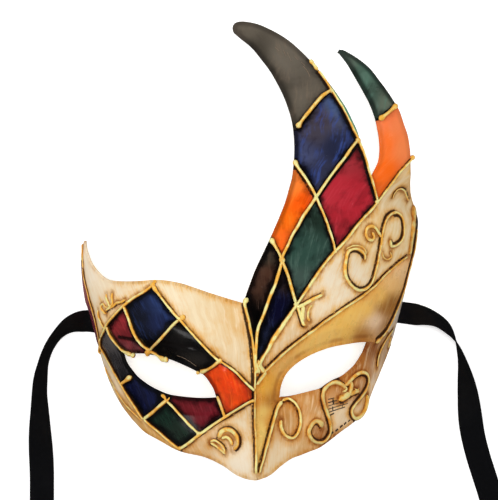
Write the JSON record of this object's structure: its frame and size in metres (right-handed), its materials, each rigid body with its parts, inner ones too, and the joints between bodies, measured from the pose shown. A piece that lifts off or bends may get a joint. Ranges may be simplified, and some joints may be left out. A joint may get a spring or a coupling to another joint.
{
  "type": "venetian half mask",
  "caption": "Carnival half mask of papier-mache with a nose ridge, two eye holes, an asymmetric crest of two horns, raised gold lines and black tying ribbons.",
  "frame": {"origin": "on the floor under the middle of the mask's own box, without its ribbons, with the mask lying face up", "axes": "+X to the viewer's right across the face, +Y up the face along the nose ridge to the horns, +Z out of the face"},
  "size_m": [0.2492, 0.3316, 0.0806],
  "materials": {
    "gesso_and_paint": "gloss",
    "ribbon": "satin"
  },
  "bodies": {
    "root": {"mask_shell": "gesso_and_paint", "ribbon_left": "ribbon", "ribbon_right": "ribbon", "ribbon_left_coil": "ribbon", "ribbon_right_coil": "ribbon"}
  },
  "joints": []
}
